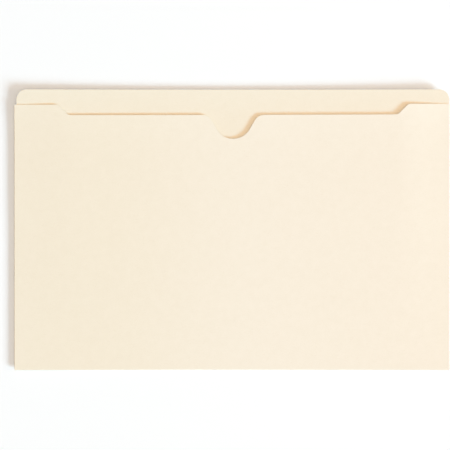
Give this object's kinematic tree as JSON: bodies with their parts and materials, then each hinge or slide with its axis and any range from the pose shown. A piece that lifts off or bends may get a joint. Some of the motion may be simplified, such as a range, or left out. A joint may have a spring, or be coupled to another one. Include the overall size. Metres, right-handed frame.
{
  "type": "file jacket",
  "caption": "Flat manila file jacket: a paper pocket closed on three sides, with a straight doubled tab above a stepped front edge with a thumb cut.",
  "frame": {"origin": "centre of the jacket's outline, on the surface that it lies on", "axes": "+X across the jacket to its right side fold, +Y from the bottom fold to the tab, +Z out of the front panel"},
  "size_m": [0.3746, 0.2413, 0.0015],
  "materials": {
    "manila_stock": "matte uncoated manila card",
    "tab_stock": "matte uncoated manila card",
    "dry_glue": "dry clear paper glue"
  },
  "bodies": {
    "back": {"back_panel": "manila_stock", "tab_ply": "tab_stock", "tab_glue": "dry_glue", "left_side_flap": "manila_stock", "right_side_flap": "manila_stock", "left_glue_line": "dry_glue", "right_glue_line": "dry_glue", "left_side_fold": "manila_stock", "right_side_fold": "manila_stock", "bottom_fold": "manila_stock"},
    "front": {"front_panel": "manila_stock"}
  },
  "joints": [
    {"name": "mouth_opening", "type": "hinge", "parent": "back", "child": "front", "pos_m": [0, -0.12008, 0.0009], "axis": [1, 0, 0], "range_deg": [0, 6], "stiffness_Nm_per_rad": 0.3}
  ]
}
